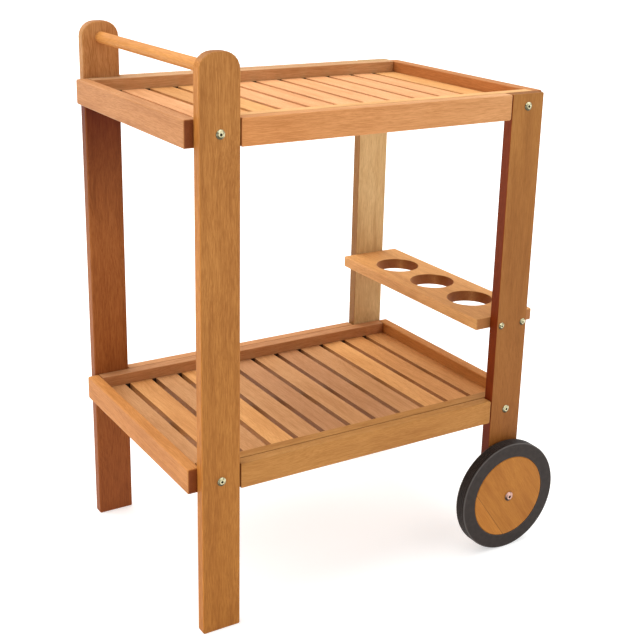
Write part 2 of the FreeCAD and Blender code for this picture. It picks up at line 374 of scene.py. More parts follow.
def glued(tree, shade, along, across):
    """Two planks glued edge to edge: paler_plank times as bright beyond a place across the grain, and
    a dark line on it, whose share falls from glue_share to 0 over glue_width on either side."""
    beyond = add(tree, "ShaderNodeMapRange",
                 i0=across, i1=glue_place, i2=glue_place - plank_step, i3=1.0, i4=paler_plank)
    beyond = add(tree, "ShaderNodeCombineColor", i0=beyond, i1=beyond, i2=beyond)
    shade = add(tree, "ShaderNodeMix", TINT, i0=1.0, i6=shade, i7=beyond).outputs[2]
    off_line = add(tree, "ShaderNodeMath", {"operation": "SUBTRACT"}, i0=across, i1=glue_place)
    off_line = add(tree, "ShaderNodeMath", {"operation": "ABSOLUTE"}, i0=off_line)
    line = add(tree, "ShaderNodeMapRange", SOFT,
               i0=off_line, i1=0.0, i2=glue_width, i3=glue_share, i4=0.0)
    return add(tree, "ShaderNodeMix", COLOUR, i0=line, i6=shade, i7=linear("#4A260F")).outputs[2]


def painted_shade_below_deck(tree, shade, along, across):
    """Painted shade under the deck: its share grows from 0 to deck_shade_share over deck_shade_step
    below it.
    """
    hidden = add(tree, "ShaderNodeMapRange",
                 i0=across, i1=deck_line, i2=deck_line - deck_shade_step, i4=deck_shade_share)
    return add(tree, "ShaderNodeMix", COLOUR, i0=hidden, i6=shade, i7=linear("#160A05")).outputs[2]


def painted_light_and_shadow_at_rim(tree, shade, along, across):
    """The shade times painted_rim_light above the rim, a painted light, and times painted_tray_shadow
    below it, the tray's painted shadow. The light takes over across the last rim_light_reach below the
    rim. The shadow's share falls from 1 at tray_shadow_full below it to 0 at tray_shadow_gone."""
    above_share = add(tree, "ShaderNodeMapRange", SOFT, i0=along, i1=rim_line - rim_light_reach, i2=rim_line)
    below_share = add(tree, "ShaderNodeMapRange", i0=along, i1=rim_line - tray_shadow_gone, i2=rim_line - tray_shadow_full)
    lightened = add(tree, "ShaderNodeMix", TINT, i0=1.0, i6=shade, i7=painted_rim_light).outputs[2]
    oiled = add(tree, "ShaderNodeMix", TINT, i0=below_share, i6=shade, i7=painted_tray_shadow).outputs[2]
    return add(tree, "ShaderNodeMix", COLOUR, i0=above_share, i6=oiled, i7=lightened).outputs[2]


print("the deck is", round(deck_line / mm, 1), "mm above a rail's middle")
print("the rim is", round(rim_line / mm, 1), "mm above a tall leg's middle")

# %% [markdown]
# No two planks of such a trolley match, so each gets one of sixteen tones. One random tint per plank
# would be shorter to write, but then the pale slats and the red and golden legs would be left to
# chance. The woods differ in how open their grain was left, from the planed legs to the sanded slats
# and discs.

# %% Tones and woods
tones = {
    "golden": linear("#A26825"),
    "honey": linear("#C5854A"),
    "flaxen": linear("#D99E6C"),
    "tan": linear("#D39B5F"),
    "sand": linear("#C88F56"),
    "straw": linear("#D0A76C"),
    "wheat": linear("#AA743A"),
    "rose": linear("#BA7F4E"),
    "amber": linear("#BC7A3D"),
    "russet": linear("#905620"),
    "umber": linear("#965320"),
    "clay": linear("#B18057"),
    "fawn": linear("#BC8A5B"),
    "copper": linear("#A86B29"),
    "apricot": linear("#CC8B48"),
    "walnut": linear("#5A3018"),
}
leg_wood = oiled_hardwood("oiled_hardwood_open_pored", 1.0)
# The left tall leg's wood, with painted light above the rim and the tray's painted shadow below.
rim_lit_and_shaded_wood = oiled_hardwood("oiled_hardwood_painted_rim_light_and_shadow", 1.0, mark=painted_light_and_shadow_at_rim)
rail_wood = oiled_hardwood("oiled_hardwood_planed", 0.65)
# The inner rails' wood, with painted shade below the deck.
inner_rail_wood = oiled_hardwood("oiled_hardwood_painted_deck_shade", 0.65, mark=painted_shade_below_deck)
slat_wood = oiled_hardwood("oiled_hardwood_sanded", 0.55)
disc_wood = oiled_hardwood("oiled_hardwood_glued_disc", 0.5, mark=glued)
strip_wood = oiled_hardwood("oiled_hardwood_strips", carried_tone=tones["walnut"])
print("wood tones:", ", ".join(tones))

# %% [markdown]
# ## Boards
#
# A planed board is a rounded rectangle carried through its thickness, with its long edges eased by a
# touch of sandpaper. A bevelled box would do for a square board, but not for a leg with large round
# ends. Here the outline starts inset at one face, steps out to full size along a quarter circle, and
# steps in again at the other face. If every corner arc keeps its centre and only its radius shrinks,
# the inset is exact, so one formula serves the round-ended legs as well as the square-cut slats.

# %% The eased board
easing = 1.6 * mm
sharpest = 1.15
arc_steps = 7
ease_steps = 5


def rounded_rectangle(low, high, radii, steps=arc_steps):
    """Centre, outward direction and radius for each point round a rectangle whose four corners are
    arcs; a point is centre + radius * direction. Corners go round from (high, high)."""
    centres, directions, sizes = [], [], []
    corners = [(1, 1), (0, 1), (0, 0), (1, 0)]
    for turn, ((u, v), radius) in enumerate(zip(corners, radii)):
        angle = math.pi / 2 * (turn + np.linspace(0, 1, steps))
        corner = np.array([high[0] if u else low[0], high[1] if v else low[1]])
        inwards = np.array([-1.0 if u else 1.0, -1.0 if v else 1.0])
        centres.append(np.tile(corner + inwards * radius, (steps, 1)))
        directions.append(np.stack([np.cos(angle), np.sin(angle)], axis=1))
        sizes.append(np.full(steps, radius))
    return np.concatenate(centres), np.concatenate(directions), np.concatenate(sizes)


def eased_rows(low, high, ease):
    """Rows from the low face to the high one. The slope t goes from 90 to 0 degrees and back, the side
    is -1 and then 1, the inset is e(1 - cos t), and the place is e(1 - sin t) from the side's face."""
    t = np.linspace(math.pi / 2, 0, ease_steps + 1)
    slope = np.concatenate([t, t[::-1]])
    side = np.repeat([-1.0, 1.0], len(t))
    place = np.where(side < 0, low, high) - side * ease * (1 - np.sin(slope))
    return slope, side, ease * (1 - np.cos(slope)), place


def board_surface(surface, low, high, along, thin, radii=None, ease=easing, faces=True):
    """A board between two corners: each eased row is the outline with its radii less the row's inset.
    Where no radii are given they are sharpest times the easing, a little over the largest inset."""
    across = 3 - along - thin
    radii = radii or (ease * sharpest,) * 4
    centres, directions, sizes = rounded_rectangle(low[[along, across]], high[[along, across]], radii)
    slope, side, inset, depth = eased_rows(low[thin], high[thin], ease)
    flat = centres[None] + (sizes[None, :, None] - inset[:, None, None]) * directions[None]
    points = np.zeros((len(slope), len(sizes), 3))
    normals = np.zeros_like(points)
    points[..., along] = flat[..., 0]
    points[..., across] = flat[..., 1]
    points[..., thin] = depth[:, None]
    normals[..., along] = np.cos(slope)[:, None] * directions[None, :, 0]
    normals[..., across] = np.cos(slope)[:, None] * directions[None, :, 1]
    normals[..., thin] = (side * np.sin(slope))[:, None]
    worn = np.sin(2 * slope)
    if (along, across, thin) not in ((X, Y, Z), (Y, Z, X), (Z, X, Y)):
        points, normals, worn = points[::-1], normals[::-1], worn[::-1]
    return surface.add(points, normals, worn, start_cap=faces, end_cap=faces)


print("an eased board has", 2 * (ease_steps + 1), "rows of", 4 * arc_steps, "points")

# %% [markdown]
# ## The legs
#
# Two tall legs with rounded tops carry the handle bar, and two short ones with rounded feet carry the
# wheels. They are the palest and the darkest boards of the trolley, because each was cut from a plank
# of its own. Their tones are given one by one, and each leg is painted darker towards its foot and
# lighter towards its top, as painted shade and painted light. A leg's narrow side towards the handle
# has a tint of its own: painted light on the right tall leg, painted shade on the two short legs. The
# tints could be painted by the material, but a leg's own points already lie where they are needed.

# %% Legs
leg_round = 26 * mm
facing = 0.8
leg_easing = {"handle": 2.6 * mm, "wheel": 1.6 * mm}
leg_square = {"handle": 3.0 * mm, "wheel": 1.8 * mm}
leg_end_cut = 0.6
# Narrow sides towards the handle: painted light on the right tall leg, painted shade on the short legs.
narrow_side_light_and_shade = {"right_handle_leg": (1.24, 1.16, 1.0), "right_wheel_leg": (0.66, 0.26, 0.11),
               "left_wheel_leg": (0.48, 0.33, 0.20)}
leg_woods = {"right_handle_leg": leg_wood, "left_handle_leg": rim_lit_and_shaded_wood,
             "right_wheel_leg": rail_wood, "left_wheel_leg": rail_wood}


def opaque(shades):
    """Red, green and blue per point with full alpha beside them."""
    return np.hstack([shades, np.ones((len(shades), 1))])


def make_leg(node, tone, foot_shade, top_light):
    """A leg stands on its grain; the top of a handle leg or the foot of a wheel leg has the two large
    arcs. Its tone goes from foot_shade to top_light times the plank's with (z - z0) / (z1 - z0), a
    painted shade at the foot and a painted light at the top. Where its normal's part towards the handle
    is over facing, that is times its narrow side's tint: painted light on the right tall leg and
    painted shade on the short legs."""
    end = node.split("_")[1]
    square = leg_square[end]
    top, foot = (leg_round, square) if end == "handle" else (square, leg_round)
    low, high = place_of(node)
    surface = Surface()
    board_surface(surface, low, high, Z, Y, radii=(top, foot, foot, top), ease=leg_easing[end])
    points, normals, _ = surface.arrays()
    rise = (points[:, [Z]] - low[Z]) / (high[Z] - low[Z])
    plank = np.array(tones[tone][:3]) * (foot_shade + (np.array(top_light) - foot_shade) * rise)
    plank = np.where(normals[:, [X]] < -facing, plank * narrow_side_light_and_shade.get(node, 1.0), plank)
    return make_piece(node + "_board", surface, leg_woods[node], opaque(plank), node=node,
                      along=Z, thin=Y, end_cut=leg_end_cut)


# Tints at the foot and the top of each leg: painted shade towards the floor, painted light towards the
# top.
legs = {"right_handle_leg": ("golden", (0.97, 0.94, 1.08), (1.06, 1.15, 2.1)),
        "left_handle_leg": ("umber", (0.86, 0.80, 0.98), (1.26, 1.58, 2.2)),
        "right_wheel_leg": ("russet", (0.83, 0.77, 0.74), (1.20, 1.48, 2.1)),
        "left_wheel_leg": ("straw", (0.90, 0.95, 1.08), (0.97, 1.04, 1.2))}
for node, choice in legs.items():
    piece = make_leg(node, *choice)
    print(piece.name, choice)

# %% [markdown]
# ## The trays
#
# Each tray is a rim of rails round twelve slats. The rails of the rim are eased like every board. Where
# an outer and an inner rail lie side by side, the fine dark line between them is painted shade on the
# points of their eased edges that meet there. The rim's faces that look up are painted a little paler,
# as painted light. An inner rail ends in two stub tenons, which are boards within the same surface.

# %% Rails of the rim
rail_easing = 2.4 * mm
outer_corner = 3.0 * mm
end_corner = 4.0 * mm
tenon = {"length": 12 * mm, "cheek": 6 * mm, "shoulder": 8 * mm}
seam_side = {"right_outer_rail": 1, "right_inner_rail": -1, "left_outer_rail": -1, "left_inner_rail": 1}
# Painted shade in the crease where two rails' eased edges meet.
seam_shade = 0.55
no_tint = np.ones(3)
tenon_easing = 0.5 * mm
rail_fade = {"upper_tray_right_outer_rail": ([0.93, 0.89, 0.93], [1.02, 1.16, 1.55]),
             "upper_tray_wheel_end_rail": ([0.90, 0.88, 1.05], [0.90, 0.88, 1.05]),
             "lower_tray_left_inner_rail": ([0.92, 0.93, 0.97], [0.92, 0.93, 0.97])}
# Painted light on the rim's faces that look up.
painted_top_light = np.array([1.03, 1.12, 1.28])


def rail_tone(surface, node, tone):
    """The rail's tone, times its fade from the first tint at the handle end to the second, times
    painted_top_light where its face looks up, a painted light. Where its edge turns to the rail beside
    it with n.d above zero, painted shade takes the share seam_shade * n.d of the light away."""
    points, normals, _ = surface.arrays()
    first, last = rail_fade.get(node, (no_tint, no_tint))
    run = (points[:, [X]] - points[:, X].min()) / np.ptp(points[:, X])
    plank = np.array(tones[tone][:3]) * ((1 - run) * first + run * last)
    plank = np.where(normals[:, [Z]] > facing, plank * painted_top_light, plank)
    towards = seam_side.get(node.split("_tray_")[1], 0)
    return opaque(plank * (1 - seam_shade * np.clip(towards * normals[:, [Y]], 0, 1)))


def make_rail(node, tone, along, thin, corner):
    """A rail of the rim, its four corners in the plane of its wide face rounded by one radius."""
    low, high = place_of(node)
    surface = Surface()
    board_surface(surface, low, high, along, thin, radii=(corner,) * 4, ease=rail_easing)
    return make_piece(node + "_board", surface, rail_wood, rail_tone(surface, node, tone),
                      node=node, along=along, thin=thin)


def make_inner_rail(node, tone):
    """A side rail between two end rails, with a stub tenon at each end."""
    low, high = place_of(node)
    shoulder = np.array([tenon["length"], 0, 0])
    surface = Surface()
    board_surface(surface, low + shoulder, high - shoulder, X, Y)
    cheek = np.array([0, tenon["cheek"], tenon["shoulder"]])
    board_surface(surface, low + cheek, high - cheek, X, Y, ease=tenon_easing)
    return make_piece(node + "_board", surface, inner_rail_wood, rail_tone(surface, node, tone),
                      node=node, along=X, thin=Y)


rail_tones = {
    "upper_tray_handle_end_rail": "rose", "upper_tray_wheel_end_rail": "amber",
    "lower_tray_handle_end_rail": "amber", "lower_tray_wheel_end_rail": "amber",
    "upper_tray_right_outer_rail": "honey", "upper_tray_left_outer_rail": "fawn",
    "lower_tray_right_outer_rail": "wheat", "lower_tray_left_outer_rail": "rose",
    "upper_tray_right_inner_rail": "tan", "upper_tray_left_inner_rail": "fawn",
    "lower_tray_right_inner_rail": "wheat", "lower_tray_left_inner_rail": "rose",
}
for node, tone in rail_tones.items():
    if "end_rail" in node:
        make_rail(node, tone, Y, X, end_corner)
    elif "outer" in node:
        make_rail(node, tone, X, Y, outer_corner)
    else:
        make_inner_rail(node, tone)
print("rails:", len(rail_tones))

# %% [markdown]
# The slats lie two centimetres below the rim with narrow gaps between them. A deck drawn on one plane
# would do from above, but from the side the gaps show the slats' sawn sides and the dark below, so
# every slat is a board. Its sides, which face into the gaps, carry painted shade: a fifth of the end
# grain's darkness in the upper tray, and three fifths of it in the lower one, which lies under the
# upper tray.

# %% Slats
slat_easing = 1.0 * mm
# Painted shade on the slats' sides in the gaps, heavier in the lower tray.
painted_gap_shade = {"upper": 0.5, "lower": 0.7}
slat_tones = {
    "upper": ("sand", "flaxen", "sand", "tan", "flaxen", "flaxen",
              "flaxen", "flaxen", "flaxen", "flaxen", "flaxen", "tan"),
    "lower": ("fawn", "sand", "fawn", "tan", "fawn", "clay",
              "fawn", "clay", "fawn", "tan", "sand", "sand"),
}
for tray, run in slat_tones.items():
    for number, tone in enumerate(run, 1):
        node = f"{tray}_tray_slat_{number}"
        surface = Surface()
        board_surface(surface, *place_of(node), Y, Z, ease=slat_easing)
        make_piece(node + "_board", surface, slat_wood, tones[tone], node=node,
                   along=Y, thin=Z, side_cut=painted_gap_shade[tray])
    print(tray, "slats:", len(run))

# %% [markdown]
# The strips under the slats are plain sawn sticks that are only seen from below. Their solids already
# have the right shape, so they stay and only get a finish.

# %% Strips under the slats
for node, solid in nodes.items():
    if node.endswith(("_ledger", "_batten")):
        solid.data.materials.clear()
        solid.data.materials.append(strip_wood)
        print(node, "keeps its solid")

# %% [markdown]
# ## The bottle board
#
# A wide board spans the short legs and three round holes hold the bottles by their bodies. A Boolean
# could cut them, but would leave their rims sharp. Here the board's edge is an eased board without its
# two faces, and each hole is a ring whose rims are rounded over like the edges. The faces between them
# are flat, so each is closed by two large polygons, one on either side of the line through the holes:
# along one side of the board and back past one half of every hole. The walls of the holes were never
# sanded and have drunk oil all round, along the grain and across it. The long side towards the handle
# is painted a little paler than the top, as painted light.

# %% Bottle board
hole_radius = 40 * mm
hole_spacing = 111 * mm
hole_columns = 96
hole_cut, rim_cut = 0.95, 0.75
# Painted light on the long side towards the handle.
painted_side_light = 1.12


def hole_surface(surface, centre_x, centre_y, low, high):
    """A round hole: the eased rows from the top face to the lower one, each as a circle whose radius
    is the hole's and the row's inset together."""
    slope, side, inset, height = (row[::-1] for row in eased_rows(low, high, easing))
    radius = hole_radius + inset
    turn = 2 * math.pi * np.arange(hole_columns) / hole_columns
    round_x, round_y = np.cos(turn), np.sin(turn)
    points = np.stack([centre_x + radius[:, None] * round_x, centre_y + radius[:, None] * round_y,
                       np.repeat(height[:, None], hole_columns, axis=1)], axis=-1)
    normals = np.stack([-np.cos(slope)[:, None] * round_x, -np.cos(slope)[:, None] * round_y,
                        np.repeat((side * np.sin(slope))[:, None], hole_columns, axis=1)], axis=-1)
    return surface.add(points, normals, np.sin(2 * slope))


def face_halves(outline, rings):
    """Two polygons that fill an outline round three holes. The first runs down the +X side and back
    past that half of every hole; the second does the same on the other side."""
    split = 2 * arc_steps
    quarter = hole_columns // 4
    plus = [outline[:split + 1]] + [np.roll(ring, quarter)[:2 * quarter + 1] for ring in rings]
    minus = [outline[split:], outline[:1]] + [ring[quarter:3 * quarter + 1] for ring in rings[::-1]]
    return np.concatenate(plus), np.concatenate(minus)


low, high = place_of("bottle_holder")
surface = Surface()
rim = board_surface(surface, low, high, Y, Z, radii=(end_corner,) * 4, faces=False)
middle_x = middle_of("bottle_holder")[X]
rings = [hole_surface(surface, middle_x, step * hole_spacing, low[Z], high[Z]) for step in (-1, 0, 1)]
for half in face_halves(rim[0], [ring[0] for ring in rings]):
    surface.faces.append(half[::-1].tolist())
for half in face_halves(rim[-1], [ring[-1] for ring in rings]):
    surface.faces.append(half.tolist())
in_hole = np.arange(surface.count) >= rim.size
_, normals, _ = surface.arrays()
handle_side = (normals[:, [X]] < -facing) & ~in_hole[:, None]
plank = np.where(handle_side, np.array(tones["tan"]) * painted_side_light, tones["tan"])
make_piece("bottle_board", surface, slat_wood, plank, node="bottle_holder", along=Y, thin=Z,
           end_cut=np.where(in_hole, hole_cut, rim_cut), side_cut=np.where(in_hole, hole_cut, 0.0))
print("bottle board, mm:", np.round((high - low) / mm, 1), "with", len(rings), "holes")

# %% [markdown]
# ## Turned pieces
#
# The handle bar, the wheels and the heads of the screws are all round about a line along Y. Each is an
# outline of radius against place along that line, carried round it, as the Screw modifier does. Doing
# it here keeps the exact normals. The outline is a polygon whose corners become arcs, so that every
# edge has some roundness to catch the light. Pieces are worked out for the left side. The right side
# is their mirror image, turned the other way so that the faces still point outwards.

# %% Rounded outlines carried round a line
corner_steps = 5
off_axis = slice(corner_steps, -corner_steps)


def rounded_outline(corners, radii, steps=corner_steps):
    """Points, outward normals and wear along a polygon whose corners are arcs. With n1 and n2 the
    normals beside a corner and s its turning sense, the arc's centre is the corner less
    s r (n1 + n2) / (1 + n1.n2), and its points are the centre plus s r times the turning normal."""
    corners = np.array(corners, dtype=float)
    before = corners - np.roll(corners, 1, axis=0)
    after = np.roll(before, -1, axis=0)

    def normal_of(run):
        """The outward unit normal of each side of the polygon."""
        return np.stack([run[:, 1], -run[:, 0]], axis=1) / np.linalg.norm(run, axis=1, keepdims=True)

    first, second = normal_of(before), normal_of(after)
    start = np.arctan2(first[:, 1], first[:, 0])
    turn = (np.arctan2(second[:, 1], second[:, 0]) - start + math.pi) % (2 * math.pi) - math.pi
    reach = (np.sign(turn) * np.array(radii))[:, None]
    centre = corners - reach * (first + second) / (1 + (first * second).sum(1, keepdims=True))
    part = np.linspace(0, 1, steps)
    angle = start[:, None] + turn[:, None] * part
    normals = np.stack([np.cos(angle), np.sin(angle)], axis=-1)
    points = centre[:, None] + reach[:, None] * normals
    worn = np.where(turn[:, None] > 0, np.sin(math.pi * part), 0.0)
    return points.reshape(-1, 2), normals.reshape(-1, 2), worn.ravel()


def turned_surface(surface, outline, side, centre, columns, **ends):
    """(r, y) carried round: x = cx + r cos a, z = cz + r sin a, with the normal turned alike."""
    points, normals, worn = outline
    angle = -side * 2 * math.pi * np.arange(columns) / columns
    around = np.stack([np.cos(angle), np.sin(angle)], axis=-1)

    def carry(pairs, offset):
        """Pairs (r, y) at every angle, moved by an offset in x and z."""
        rows = np.empty((len(pairs), columns, 3))
        rows[..., X] = offset[0] + pairs[:, :1] * around[:, 0]
        rows[..., Y] = side * pairs[:, 1:]
        rows[..., Z] = offset[1] + pairs[:, :1] * around[:, 1]
        return rows

    return surface.add(carry(points, centre), carry(normals, (0, 0)), worn, **ends)


print("each rounded corner has", corner_steps, "points")

# %% [markdown]
# The handle bar is a plain dowel. Its two ends are let into blind holes in the tall legs. A cylinder
# primitive would be as round, but it would not know the way of its grain. The outline's first and
# last corners lie on the axis and are left out, because the flat ends close it there.

# %% Handle bar
bar_columns = 64
bar_edge = 1.0 * mm
low, high = place_of("handle_bar")
bar_radius = (high[Z] - low[Z]) / 2
bar_corners = [(0, low[Y]), (bar_radius, low[Y]), (bar_radius, high[Y]), (0, high[Y])]
points, normals, worn = rounded_outline(bar_corners, [0, bar_edge, bar_edge, 0])
surface = Surface()
turned_surface(surface, (points[off_axis], normals[off_axis], 0 * worn[off_axis]), 1,
               middle_of("handle_bar")[[X, Z]], bar_columns, start_cap=True, end_cap=True)
make_piece("handle_dowel", surface, slat_wood, tones["apricot"], node="handle_bar",
           along=Y, thin=Z)
print("handle bar, mm:", np.round(2 * bar_radius / mm, 1), "across")

# %% [markdown]
# ## The wheels
#
# A wheel is a wooden disc in a solid rubber tyre. The disc is glued up from two planks, so a fine dark
# line crosses it and the smaller plank is a little paler. Two half discs would show a gap or a step.
# The glue line is sanded flush, so the material draws it from the place across the grain. The planks
# lie aslant on the wheel, and the grain is turned to match.

# %% Wheel discs
disc_turn = math.radians(-54.6)
disc_easing, hidden_edge, bore_edge = 2.6 * mm, 0.6 * mm, 0.4 * mm
disc_columns = 128
# The disc's rim is darkened all round: end grain along the grain, and across it painted shade for the
# gap to the tyre.
disc_rim_end_and_shade = 0.85
wheel_low, wheel_high = place_of("left_tyre")
wheel_line = middle_of("left_tyre")[[X, Z]]
wheel_radius = (wheel_high[Z] - wheel_low[Z]) / 2
inner_y, outer_y = wheel_low[Y], wheel_high[Y]
disc_low, disc_high = place_of("left_wheel_disc")
disc_radius = (disc_high[Z] - disc_low[Z]) / 2
bore_radius = 4.05 * mm
disc_outline = rounded_outline(
    [(bore_radius, inner_y), (disc_radius, inner_y), (disc_radius, outer_y), (bore_radius, outer_y)],
    [bore_edge, hidden_edge, disc_easing, bore_edge])
for name, side in (("left", 1), ("right", -1)):
    surface = Surface()
    turned_surface(surface, (*disc_outline[:2], 0 * disc_outline[2]), side, wheel_line, disc_columns,
                   ring=True)
    make_piece(f"{name}_wheel_board", surface, disc_wood, tones["copper"], body=f"{name}_wheel",
               node=f"{name}_wheel_disc", along=X, thin=Y, turn=disc_turn, end_cut=disc_rim_end_and_shade,
               side_cut=disc_rim_end_and_shade)
print("disc, mm:", round(2 * disc_radius / mm, 1), "in a wheel of", round(2 * wheel_radius / mm, 1))

# %% [markdown]
# The tyre is moulded in one piece of natural rubber with carbon black. That gives the eye a brownish
# black with a dull, broad sheen. Its rounded outer edges, the lips of its grooves among them, are
# painted greyer: rubbed wear, with a painted highlight on them. Its flat side ends in a rounded
# shoulder, a groove runs behind the shoulder, and three fine grooves circle the tread. Bump could draw
# the grooves, but they would be missing from the tyre's silhouette. Here all of them are corners of the
# outline, so they are real ridges and cast real shadows.

# %% Rubber
rubber_mottle = 9 * mm
rubber_grit = 1.4 * mm
# Share of the paler edges: rubbed wear and a painted highlight.
scuff_and_highlight_share = 0.4


def moulded_rubber():
    """Brownish black rubber: soft mottling, fine grit in the bump, and paler edges, worn and with a
    painted highlight.
    """
    material, tree, shader = new_material("moulded_rubber_tyre")
    place = add(tree, "ShaderNodeAttribute", {"attribute_name": "grain"}).outputs["Vector"]
    worn = add(tree, "ShaderNodeAttribute", {"attribute_name": "edge"}).outputs["Fac"]
    mottle = stretched_noise(tree, place, (rubber_mottle,) * 3)
    grit = stretched_noise(tree, place, (rubber_grit,) * 3, detail=3.0)
    spread = add(tree, "ShaderNodeMapRange", SOFT, i0=mottle, **wide_window)
    shade = add(tree, "ShaderNodeMix", COLOUR,
                i0=spread, i6=linear("#231914"), i7=linear("#2B211C")).outputs[2]
    rubbed = add(tree, "ShaderNodeMath", {"operation": "MULTIPLY"}, i0=worn, i1=scuff_and_highlight_share)
    shade = add(tree, "ShaderNodeMix", COLOUR, i0=rubbed, i6=shade, i7=linear("#77726F")).outputs[2]
    tree.links.new(shade, shader.inputs["Base Color"])
    gloss = add(tree, "ShaderNodeMapRange", i0=grit, i3=0.5, i4=0.66)
    tree.links.new(gloss.outputs[0], shader.inputs["Roughness"])
    shader.inputs["IOR"].default_value = 1.52
    shader.inputs["Specular IOR Level"].default_value = 0.26
    bump = add(tree, "ShaderNodeBump", Strength=0.25, Distance=0.15 * mm, Height=grit)
    tree.links.new(bump.outputs[0], shader.inputs["Normal"])
    return material


rubber = moulded_rubber()
print("rubber grit, mm:", round(rubber_grit / mm, 1))

# %% Tyres
tyre_columns, tyre_steps = 160, 7
seat_gap = 0.1 * mm
seat_edge, back_round, groove_edge = 0.3 * mm, 3.4 * mm, 0.12 * mm
shoulder_round, lip_round = 2.4 * mm, 0.8 * mm
shoulder_groove, shoulder_depth = 1.8 * mm, 1.2 * mm
tread_grooves = (6.5 * mm, 10.5 * mm, 14.5 * mm)
groove_width, groove_depth = 1.8 * mm, 1.0 * mm
seat_radius = disc_radius + seat_gap


def groove(y, width, depth):
    """Four corners of a groove in the tread, from its inner lip over its floor to its outer lip. The
    floor is half as wide as the mouth."""
    tread, floor = wheel_radius, wheel_radius - depth
    return [(tread, y - width / 2), (floor, y - width / 4),
            (floor, y + width / 4), (tread, y + width / 2)]


grooves = [corner for y in tread_grooves for corner in groove(inner_y + y, groove_width, groove_depth)]
grooves += groove(outer_y - shoulder_round - shoulder_groove, shoulder_groove, shoulder_depth)
corners = [(seat_radius, inner_y), (wheel_radius, inner_y), *grooves,
           (wheel_radius, outer_y), (seat_radius, outer_y)]
radii = [seat_edge, back_round] + [groove_edge] * len(grooves) + [shoulder_round, lip_round]
tyre_outline = rounded_outline(corners, radii, steps=tyre_steps)
for name, side in (("left", 1), ("right", -1)):
    surface = Surface()
    turned_surface(surface, tyre_outline, side, wheel_line, tyre_columns, ring=True)
    make_piece(f"{name}_rubber_tyre", surface, rubber, body=f"{name}_wheel",
               node=f"{name}_tyre", along=X, thin=Y)
print("tyre outline:", len(corners), "corners")

# %% [markdown]
# ## Screws and bolts
#
# The trays and the bottle board are held by zinc-plated screws with crowned heads and a small
# hexagonal socket, passivated to a pale yellow. The axle bolts, their nuts and their washers are a
# warmer, brighter zinc. Electroplating gives a satin metal with faint clouds. It is barely rough, so
# each crown carries a small soft highlight.

# %% Plated steel
zinc_cloud = 3 * mm
zinc_grit = 0.8 * mm
rough_sway = 0.08


def plated_steel(name, plating, shadowed, roughness):
    """Electroplated zinc: a bright metal with cloudy passivation, a fine matt grain, and painted shade
    where the attribute "edge" says."""
    material, tree, shader = new_material(name)
    place = add(tree, "ShaderNodeTexCoord").outputs["Object"]
    cloud = stretched_noise(tree, place, (zinc_cloud,) * 3)
    grit = stretched_noise(tree, place, (zinc_grit,) * 3)
    spread = add(tree, "ShaderNodeMapRange", SOFT, i0=cloud, **wide_window)
    shade = add(tree, "ShaderNodeMix", COLOUR,
                i0=spread, i6=linear(shadowed), i7=linear(plating)).outputs[2]
    head_shade = add(tree, "ShaderNodeAttribute", {"attribute_name": "edge"}).outputs["Fac"]
    # Painted shade, near black, where the attribute edge says.
    shade = add(tree, "ShaderNodeMix", COLOUR, i0=head_shade, i6=shade, i7=linear("#2A241C")).outputs[2]
    tree.links.new(shade, shader.inputs["Base Color"])
    gloss = add(tree, "ShaderNodeMapRange",
                i0=grit, i3=roughness - rough_sway, i4=roughness + rough_sway)
    tree.links.new(gloss.outputs[0], shader.inputs["Roughness"])
    shader.inputs["Metallic"].default_value = 1.0
    bump = add(tree, "ShaderNodeBump", Strength=0.15, Distance=0.05 * mm, Height=grit)
    tree.links.new(bump.outputs[0], shader.inputs["Normal"])
    return material


yellow_zinc = plated_steel("yellow_zinc_screws", "#DAD3AE", "#A29C78", 0.26)
bright_zinc = plated_steel("bright_zinc_bolts", "#DDB3A4", "#B58E80", 0.30)
print("plated steels:", yellow_zinc.name, "and", bright_zinc.name)

# %% [markdown]
# A head is a turned outline as far as the rim of its socket. A Boolean could cut the socket, but the
# normals would be lost. Here the rows simply go on: the radius follows the hexagon, half the width
# across flats over the cosine of the angle to the nearest flat. The attribute "edge" is the share of
# painted shade here. It fills the sockets and lies on each crown's lower side, towards the handle end,
# away from the lit side.

# %% A head with its socket
head_columns = 48
edge_break = 0.15 * mm
straight_side = 0.3
head_radii = (0, 0.5 * mm, 0.1 * mm, 0.2 * mm, 0.5 * mm, 1.5 * mm, 0)
# Painted shade in the sockets and on each crown's side away from the light.
socket_shade, crown_shade = 0.94, 0.95
shade_level, shade_slope = 0.3, 2.0
lit_side = np.array([0.5, 0.86])


